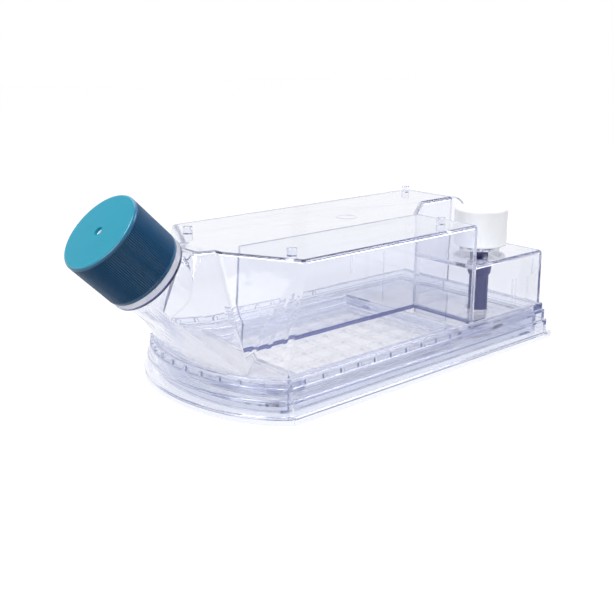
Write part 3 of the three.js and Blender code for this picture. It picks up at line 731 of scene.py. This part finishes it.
def housing_solid(sizes):
    """The whole clear housing as one moulding."""
    tube, thread = (moved(part, NECK_TURN) for part in neck_tube(sizes))
    bore_radius, bore_end, stem_hole = NECK_RADIUS - NECK_WALL, NECK_REACH + OVERRUN, 4.8
    bore = lathe([(0, 0), (bore_radius, 0), (bore_radius, bore_end), (0, bore_end)])
    hole = moved(
        lathe([(0, SHELF - 4), (stem_hole, SHELF - 4), (stem_hole, SHELF + 1), (0, SHELF + 1)], steps=64),
        Matrix.Translation((PORT_X, PORT_Y, 0)),
    )
    low, wall = HOUSING_BOTTOM - OVERRUN, sizes.wall
    outer = (0.0, HOUSING_BOTTOM, sizes.edge, sizes.corner)
    inner = (wall, low, sizes.inner_edge, sizes.inner_edge + 0.3)
    chamber = combined(
        front_body(*inner), ("UNION", throat(wall, low, 4.0, 3.0)), *(("UNION", part) for part in rear_arm(*inner)),
    )
    return combined(
        front_body(*outer),
        ("UNION", throat(0.0, HOUSING_BOTTOM, 6.0, 5.0)),
        *(("UNION", part) for part in rear_arm(*outer)),
        ("UNION", port_box(*outer)),
        ("UNION", tube),
        ("UNION", thread),
        ("DIFFERENCE", chamber),
        ("DIFFERENCE", port_box(*inner)),
        ("DIFFERENCE", moved(bore, NECK_TURN)),
        ("UNION", baffle()),
        ("UNION", notch_foot()),
        *(("UNION", bead) for bead in foot_beads()),
        ("UNION", rear_wing()),
        ("UNION", mould_marks()),
        ("DIFFERENCE", hole),
        ("UNION", stacking_pins()),
    )


# ---- Base frame ----

def rim_ledge(top, thickness, reach):
    inset = RIM_INNER + reach
    return combined(
        prism(base_outline(RIM_INNER - 0.3, RIM_INNER - 0.3), top - thickness, top),
        ("DIFFERENCE", prism(base_outline(inset, inset), top - thickness - 1, top + 1)),
    )


def edge_pips():
    """Small pips on the third step, equally spaced along both sides and round the bow."""
    width, top, pitch = 1.5, RIM_STEPS[2][0], 10.9
    loop = base_outline(RIM_STEPS[2][1] + 0.2 + width / 2, 0, NOTCH_X - 16)
    path = [Vector(p) for p in [loop[-1], *loop[:-1]]]
    spans = [(b - a).length for a, b in zip(path, path[1:])]
    count = int(sum(spans) / pitch)
    pips = []
    for i in range(count):
        along, k = (i + 0.5) / count * sum(spans), 0
        while along > spans[k]:
            along -= spans[k]
            k += 1
        run = path[k + 1] - path[k]
        spot = path[k] + run * (along / spans[k])
        pip = in_box((-1.1, -width / 2, -1), (1.1, width / 2, 2.2))
        rounded(pip, 0.5, 2, 40, above(-1))
        turn = Matrix.Rotation(math.atan2(run.y, run.x), 4, "Z")
        pips.append(moved(pip, Matrix.Translation((spot.x, spot.y, top)) @ turn))
    return gathered(*pips)


def base_solid(sizes):
    """The stepped frame, hollow from below."""
    steps = [
        rounded(prism(base_outline(side, rear), 0, top), sizes.rim_edge, 3, 20, above(0))
        for top, side, rear in RIM_STEPS
    ]
    core_inset = 7.5
    inner = [prism(base_outline(core_inset, core_inset), -2, RIM_STEPS[-1][0]) for _ in RIM_STEPS[:-1]]
    hollows = [
        combined(prism(base_outline(side + 2, rear + 2), -1, top - 2), ("DIFFERENCE", core))
        for (top, side, rear), core in zip(RIM_STEPS, inner)
    ]
    slots = [
        in_box((BASE_LENGTH - RIM_INNER - 1, y - 7, -1), (BASE_LENGTH + 1, y + 7, 2.4)) for y in (-30, 0, 30)
    ]
    opening = prism(base_outline(RIM_INNER, RIM_INNER), -1, RIM_STEPS[-1][0] + 1)
    return combined(
        steps[0],
        *(("UNION", step) for step in steps[1:]),
        ("UNION", edge_pips()),
        *(("DIFFERENCE", hollow) for hollow in hollows),
        ("DIFFERENCE", opening),
        ("UNION", rim_ledge(top=4.2, thickness=1.5, reach=7.5)),
        ("UNION", rim_ledge(top=13.7, thickness=1.7, reach=3)),
        ("DIFFERENCE", gathered(*slots)),
    )


# ---- Caps ----

def ribbed_cap(radius, inner, height, lid, rim, ribs, rib_depth, dimple=0.0):
    """A screw cap that stands on z = 0, with upright grip ribs, a smooth rounded rim and a flat top."""
    arc = [
        (radius - rim + rim * math.cos(a), height - rim + rim * math.sin(a))
        for a in (math.radians(15 * i) for i in range(7))
    ]
    hollow = [(0, height - lid), (inner, height - lid), (inner, 0.5), (inner + 0.4, 0)]
    side = [
        (radius - 0.6, 0), (radius - 0.15, 0.15), (radius, 0.6), (radius, 1.3), (radius, 1.7),
        (radius, height - rim - 0.6), (radius, height - rim - 0.1),
    ]
    crown = [(dimple + 0.15, height), (dimple, height - 0.2), (dimple * 0.85, height - 1.2), (0, height - 1.3)]
    bm = lathe([*hollow, *side, *arc, *(crown if dimple else [(0, height)])], steps=4 * ribs)
    step = math.tau / (4 * ribs)
    for vert in bm.verts:
        on_side = math.hypot(vert.co.x, vert.co.y) > radius - 0.01 and 1.5 < vert.co.z < height - rim - 0.3
        if on_side and round(math.atan2(vert.co.y, vert.co.x) / step) % 4 > 1:
            vert.co.x *= 1 - rib_depth / radius
            vert.co.y *= 1 - rib_depth / radius
    return bm


def port_fitting_solid(sizes):
    """A neck that seats on the shelf, its stem through the shelf's hole, and the spigot under it."""
    underside, end, seat = SHELF - 2, SHELF - 12, SHELF + 0.3
    bore, spigot, stem, neck, mouth = 1.7, 2.9, 4.5, 11.4, 7.0
    body = lathe([
        (bore, end), (spigot, end), (spigot, underside), (stem, underside), (stem, seat),
        (neck, seat), (neck, PORT_NECK_TOP), (mouth, PORT_NECK_TOP), (mouth, SHELF + 5), (bore, SHELF + 1),
    ], closed=True)
    rounded(body, 0.35, 2, 40)
    return combined(body, ("UNION", helix(neck, SHELF + 7, sizes.port_pitch, 3.2, sizes.thread_depth)))


def tube_solid(sizes):
    """The soft tube between spigot and nipple, with one flared collar and a raised frame on its near side."""
    bottom, top = WELL_FLOOR + 0.3, SHELF - 2.3
    collar = top - 7.3
    body = lathe([
        (TUBE_BORE, bottom), (TUBE_RADIUS + 0.35, bottom), (TUBE_RADIUS, bottom + 9), (TUBE_RADIUS, collar - 4.8),
        (TUBE_RADIUS + 0.8, collar - 4.8), (TUBE_RADIUS + 1.55, collar),
        (TUBE_RADIUS, collar), (TUBE_RADIUS, top), (TUBE_BORE, top),
    ], closed=True, steps=96)
    rounded(body, 0.4, 3, 25)
    low, high, half, bar = 18.5, collar - 7.5, math.radians(36), 0.6
    sunk, out = TUBE_RADIUS - 0.3, TUBE_RADIUS + sizes.tube_frame
    facing = math.radians(228)
    bars = []
    for z in (low, high):
        strip = bmesh.new()
        corners = ((sunk, z), (out, z), (out, z + bar), (sunk, z + bar))
        face = strip.faces.new([strip.verts.new((r, 0, level)) for r, level in corners])
        bmesh.ops.spin(
            strip, geom=[face, *face.edges, *face.verts], axis=(0, 0, 1), angle=2 * half, steps=16,
        )
        bmesh.ops.recalc_face_normals(strip, faces=strip.faces)
        bars.append(moved(strip, Matrix.Rotation(facing - half, 4, "Z")))
    for side in (-half, half):
        post = in_box((sunk, -bar / 2, low), (out, bar / 2, high + bar))
        bars.append(moved(post, Matrix.Rotation(facing + side, 4, "Z")))
    return combined(body, *(("UNION", strip) for strip in bars))


def softened_copy(name, radius):
    """A CAD node's own mesh, merged, with its edges rounded, in metres."""
    bm = bmesh.new()
    bm.from_mesh(NODES[name].data)
    bmesh.ops.remove_doubles(bm, verts=bm.verts, dist=1e-6)
    bmesh.ops.dissolve_limit(bm, angle_limit=math.radians(0.3), verts=bm.verts, edges=bm.edges)
    return rounded(bm, radius * MM, 2, 40)


# ---- Operators ----

class FLASK_OT_stage(bpy.types.Operator):
    """Add the floor, the backdrop, the soft lamps and the camera"""
    bl_idname = "flask.stage"
    bl_label = "Stage"

    def execute(self, context):
        scene = context.scene
        scene.view_settings.view_transform = "Standard"
        scene.cycles.max_bounces = 96
        scene.cycles.transmission_bounces = 96
        scene.cycles.glossy_bounces = 96
        scene.cycles.transparent_max_bounces = 48
        colours = scene.flask_colours

        bm = bmesh.new()
        bmesh.ops.create_grid(bm, x_segments=1, y_segments=1, size=3)
        mesh = bpy.data.meshes.new("floor")
        bm.to_mesh(mesh)
        bm.free()
        mesh.materials.append(self.paper(colours))
        floor = bpy.data.objects.new("floor", mesh)
        scene.collection.objects.link(floor)

        scene.world = self.studio(colours)
        middle, cap_corner, port_corner = Vector((0, 0, 0.05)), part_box("main_cap")[0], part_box("port_cap")[0]
        for lamp in (  # name, place, aim, size, watts, spread in degrees
            ("key", (-1.20, -0.18, 0.88), middle, (1.0, 0.8), 6.5, 180),
            ("rim", (0.56, -0.26, 0.70), middle, (0.4, 0.4), 2.6, 180),
            ("fill", (0.35, 0.45, 0.75), middle, (0.6, 0.5), 1.6, 180),
            ("crown", (-0.38, 0.17, 0.85), middle, (0.35, 0.35), 2.5, 180),
            ("catch", (-0.37, -0.48, 0.60), cap_corner, (0.08, 0.08), 0.25, 180),
            ("kicker", (0.02, -0.60, 0.30), port_corner, (0.16, 0.16), 0.06, 20),
        ):
            self.softbox(scene, *lamp)
        self.camera(scene)
        return {"FINISHED"}

    @staticmethod
    def paper(colours):
        """Seamless studio paper: white to the eye, and in glass and gloss."""
        material, tree = new_tree("seamless_studio_paper")
        rays = put(tree, "ShaderNodeLightPath")
        shown = put(
            tree, "ShaderNodeMath",
            {0: rays.outputs["Is Camera Ray"], 1: rays.outputs["Is Transmission Ray"]}, operation="MAXIMUM",
        )
        # Painted reflection: in a patch in front of the flask the floor looks darker to reflected rays only, like a
        # grey card lying there, so the near walls mirror less and what is behind them shows clearly
        card = put(
            tree, "ShaderNodeMapping", {"Vector": put(tree, "ShaderNodeTexCoord").outputs["Object"]},
            vector_type="TEXTURE", Location=(0.125, -0.165, 0), Scale=(0.165, 0.095, 1),
        )
        off = put(tree, "ShaderNodeVectorMath", {0: card.outputs[0]}, operation="ABSOLUTE")
        off = put(tree, "ShaderNodeSeparateXYZ", {"Vector": off.outputs[0]})
        off = put(tree, "ShaderNodeMath", {0: off.outputs["X"], 1: off.outputs["Y"]}, operation="MAXIMUM")
        share = put(
            tree, "ShaderNodeMapRange", {"Value": off.outputs[0]},
            From_Min=0.9, From_Max=1.1, To_Min=0.25, To_Max=0.9,
        )
        mirrored = put(
            tree, "ShaderNodeMath", {0: rays.outputs["Is Glossy Ray"], 1: share.outputs[0]}, operation="MULTIPLY",
        )
        shown = put(tree, "ShaderNodeMath", {0: shown.outputs[0], 1: mirrored.outputs[0]}, operation="MAXIMUM")
        fibre = noise(tree, object_place(tree), 1.5, 3.0)
        matt = put(
            tree, "ShaderNodeBsdfDiffuse", {"Normal": bump(tree, fibre, 0.02)}, Color=colours.paper, Roughness=0.6,
        )
        glow = put(tree, "ShaderNodeEmission", Color=colours.studio, Strength=0.97)
        both = put(tree, "ShaderNodeAddShader", {0: matt.outputs[0], 1: glow.outputs[0]})
        lit = put(tree, "ShaderNodeMixShader", {"Fac": shown.outputs[0], 1: matt.outputs[0], 2: both.outputs[0]})
        put(tree, "ShaderNodeOutputMaterial", {"Surface": lit.outputs[0]})
        return material

    @staticmethod
    def studio(colours):
        """A white room with a shaded ceiling and a flag on either side, which draw the plastic's edges."""
        world = bpy.data.worlds.new("studio")
        world.use_nodes = True
        tree = world.node_tree
        tree.nodes.clear()
        rays = put(tree, "ShaderNodeLightPath")
        way = put(tree, "ShaderNodeTexCoord").outputs["Generated"]
        height = put(tree, "ShaderNodeSeparateXYZ", {"Vector": way}).outputs["Z"]
        ceiling = put(tree, "ShaderNodeMapRange", {"Value": height}, From_Min=0.4, From_Max=0.6, To_Max=0.65)
        beside = put(tree, "ShaderNodeVectorMath", {0: way}, operation="DOT_PRODUCT")
        beside.inputs[1].default_value = (0.758, -0.652, 0)  # across the camera's view
        beside = put(tree, "ShaderNodeMath", {0: beside.outputs["Value"]}, operation="ABSOLUTE")
        flags = put(tree, "ShaderNodeMapRange", {"Value": beside.outputs[0]}, From_Min=0.75, From_Max=0.9)
        flags = put(
            tree, "ShaderNodeMath", {0: flags.outputs[0], 1: rays.outputs["Is Transmission Ray"]}, operation="MULTIPLY",
        )
        dark = put(tree, "ShaderNodeMath", {0: ceiling.outputs[0], 1: flags.outputs[0]}, operation="MAXIMUM")
        room = put(tree, "ShaderNodeMix", {"Factor": dark.outputs[0]}, data_type="RGBA")
        room.inputs[COLOUR_A].default_value, room.inputs[COLOUR_B].default_value = colours.studio[:], colours.shade[:]
        bent = put(
            tree, "ShaderNodeMath",
            {0: rays.outputs["Is Glossy Ray"], 1: rays.outputs["Is Transmission Ray"]}, operation="MAXIMUM",
        )
        # Diffuse light comes from above and behind: the near side is the dim side of the room
        side = put(tree, "ShaderNodeSeparateXYZ", {"Vector": way}).outputs["Y"]
        dim = put(tree, "ShaderNodeMapRange", {"Value": side}, From_Min=-0.3, From_Max=0.5, To_Min=0.0, To_Max=0.65)
        soft = put(tree, "ShaderNodeBackground", {"Strength": dim.outputs[0]}, Color=colours.studio)
        mirrored = put(tree, "ShaderNodeBackground", {"Color": room.outputs[2]}, Strength=1.0)
        white = put(tree, "ShaderNodeBackground", Color=colours.studio, Strength=1.0)
        mix = put(tree, "ShaderNodeMixShader", {"Fac": bent.outputs[0], 1: soft.outputs[0], 2: mirrored.outputs[0]})
        mix = put(
            tree, "ShaderNodeMixShader", {"Fac": rays.outputs["Is Camera Ray"], 1: mix.outputs[0], 2: white.outputs[0]},
        )
        put(tree, "ShaderNodeOutputWorld", {"Surface": mix.outputs[0]})
        return world

    @staticmethod
    def softbox(scene, name, place, aim, size, watts, spread):
        lamp = bpy.data.lights.new(name, "AREA")
        lamp.shape, lamp.size, lamp.size_y, lamp.energy = "RECTANGLE", *size, watts
        lamp.spread = math.radians(spread)
        box = bpy.data.objects.new(name, lamp)
        box.location = place
        box.rotation_euler = (aim - box.location).to_track_quat("-Z", "Y").to_euler()
        scene.collection.objects.link(box)

    @staticmethod
    def camera(scene):
        lens = bpy.data.cameras.new("camera")
        lens.lens, lens.clip_start = 52.36, 0.01
        camera = bpy.data.objects.new("camera", lens)
        yaw, pitch = math.radians(49.3), math.radians(16.6)
        forward = Vector((math.cos(yaw) * math.cos(pitch), math.sin(yaw) * math.cos(pitch), -math.sin(pitch)))
        camera.location = (-0.2964, -0.3422, 0.165)
        camera.rotation_euler = forward.to_track_quat("-Z", "Y").to_euler()
        scene.collection.objects.link(camera)
        scene.camera = camera


class FLASK_OT_housing(bpy.types.Operator):
    """Add the clear housing: body, neck with its thread, notch, baffle, wing and stacking pins"""
    bl_idname = "flask.housing"
    bl_label = "Housing"

    def execute(self, context):
        solid = without_slivers(housing_solid(sizes_in_mm(context)))
        add_piece(context, "flask_housing", solid, FLASK, "clear", "flask", "clear_shell", "housing", "seam", "frost")
        return {"FINISHED"}


class FLASK_OT_base_frame(bpy.types.Operator):
    """Add the stepped base frame with its pips, ledges and air slots"""
    bl_idname = "flask.base_frame"
    bl_label = "Base Frame"

    def execute(self, context):
        solid = without_slivers(base_solid(sizes_in_mm(context)))
        add_piece(context, "stepped_base", solid, FLASK, "base_clear", "flask", "clear_shell", "base_frame")
        return {"FINISHED"}


class FLASK_OT_cell_chamber(bpy.types.Operator):
    """Finish the cell chamber: grid, gas sheet, spacer, membrane and the plate that holds them"""
    bl_idname = "flask.cell_chamber"
    bl_label = "Cell Chamber"

    def execute(self, context):
        plate = softened_copy("membrane_retainer", 0.5)
        add_piece(context, "floor_plate", plate, Matrix(), "thin_clear", "flask", "clear_shell", "membrane_retainer")
        dress(context, "thin_clear", "bottom_grid")
        dress(context, "silicone", "gas_sheet", "cell_spacer")
        dress(context, "film", "cell_membrane")
        return {"FINISHED"}


class FLASK_OT_main_cap(bpy.types.Operator):
    """Add the ribbed main cap with its inner thread, and finish its liner"""
    bl_idname = "flask.main_cap"
    bl_label = "Main Cap"

    def execute(self, context):
        sizes, ribs = sizes_in_mm(context), context.scene.flask_counts.cap_ribs
        inner, lid, dimple = 18.4, 2.2, 2.0
        cap = ribbed_cap(CAP_RADIUS, inner, CAP_HEIGHT, lid, sizes.cap_rim, ribs, sizes.rib_depth, dimple)
        rim_from, side_from, side_top, vent_radius, vent_foot = (
            CAP_RADIUS - 1.3, CAP_RADIUS - 1.2, CAP_HEIGHT - 0.45, 1.7, CAP_HEIGHT - 1.5
        )
        painted(cap, RIM, lambda point: point.xy.length > rim_from)
        # The ribbed side gets the darker pigment: painted shade
        painted(cap, SHADED_SIDE, lambda point: point.xy.length > side_from and point.z < side_top)
        painted(cap, VENT, lambda point: point.xy.length < vent_radius and point.z > vent_foot)
        cap = gathered(cap, helix(inner, start=8, pitch=sizes.neck_pitch, turns=2, depth=-0.8))
        place = NECK @ Matrix.Translation((0, 0, CAP_TOP - CAP_HEIGHT))
        add_piece(
            context, "ribbed_main_cap", cap, place, "cap", "main_cap", "teal_cap", "main_cap",
            "cap_shaded_side", "liner", "cap_rim",
        )
        dress(context, "liner", "main_cap_liner")
        return {"FINISHED"}


class FLASK_OT_port_fitting(bpy.types.Operator):
    """Add the access port's fitting with its thread"""
    bl_idname = "flask.port_fitting"
    bl_label = "Port Fitting"

    def execute(self, context):
        solid = port_fitting_solid(sizes_in_mm(context))
        add_piece(context, "threaded_port", solid, PORT, "clear", "flask", "clear_shell", "port_fitting")
        return {"FINISHED"}


class FLASK_OT_port_cap(bpy.types.Operator):
    """Add the ribbed port cap, and finish the septum under it"""
    bl_idname = "flask.port_cap"
    bl_label = "Port Cap"

    def execute(self, context):
        sizes, ribs = sizes_in_mm(context), context.scene.flask_counts.port_ribs
        inner, lid, rim, rib_share = 13.1, 2, 1.4, 0.25
        cap = ribbed_cap(PORT_CAP_RADIUS, inner, PORT_CAP_HEIGHT, lid, rim, ribs, rib_share * sizes.rib_depth)
        cap = gathered(cap, helix(inner, start=6, pitch=sizes.port_pitch, turns=2, depth=-0.8))
        place = PORT @ Matrix.Translation((0, 0, PORT_CAP_TOP - PORT_CAP_HEIGHT))
        add_piece(context, "ribbed_port_cap", cap, place, "port_cap", "port_cap", "white_cap", "port_cap")
        dress(context, "silicone", "port_septum")
        return {"FINISHED"}


class FLASK_OT_access_tube(bpy.types.Operator):
    """Add the soft access tube with its collar and raised frame"""
    bl_idname = "flask.access_tube"
    bl_label = "Access Tube"

    def execute(self, context):
        solid = tube_solid(sizes_in_mm(context))
        add_piece(context, "collared_access_tube", solid, PORT, "tube", "flask", "black_tube", "access_tube")
        return {"FINISHED"}


class FLASK_PT_flask(bpy.types.Panel):
    """Sizes, colours and pieces of the flask"""
    bl_label = "Cell Culture Flask"
    bl_idname = "FLASK_PT_flask"
    bl_space_type = "VIEW_3D"
    bl_region_type = "UI"
    bl_category = "Flask"

    def draw(self, context):
        layout = self.layout
        for group in (context.scene.flask_sizes, context.scene.flask_counts, context.scene.flask_colours):
            column = layout.column(align=True)
            for name in type(group).__annotations__:
                column.prop(group, name)
        for operator in OPERATORS:
            layout.operator(operator.bl_idname)


OPERATORS = (
    FLASK_OT_stage, FLASK_OT_housing, FLASK_OT_base_frame, FLASK_OT_cell_chamber, FLASK_OT_main_cap,
    FLASK_OT_port_fitting, FLASK_OT_port_cap, FLASK_OT_access_tube,
)
GROUPS = {"flask_sizes": FlaskSizes, "flask_counts": FlaskCounts, "flask_colours": FlaskColours}


def register():
    for item in (*GROUPS.values(), *OPERATORS, FLASK_PT_flask):
        bpy.utils.register_class(item)
    for name, group in GROUPS.items():
        setattr(bpy.types.Scene, name, PointerProperty(type=group))


def unregister():
    for name in GROUPS:
        delattr(bpy.types.Scene, name)
    for item in reversed((*GROUPS.values(), *OPERATORS, FLASK_PT_flask)):
        bpy.utils.unregister_class(item)


def main():
    register()
    for operator in OPERATORS:
        getattr(bpy.ops.flask, operator.bl_idname.split(".")[1])()


if __name__ == "__main__":
    main()
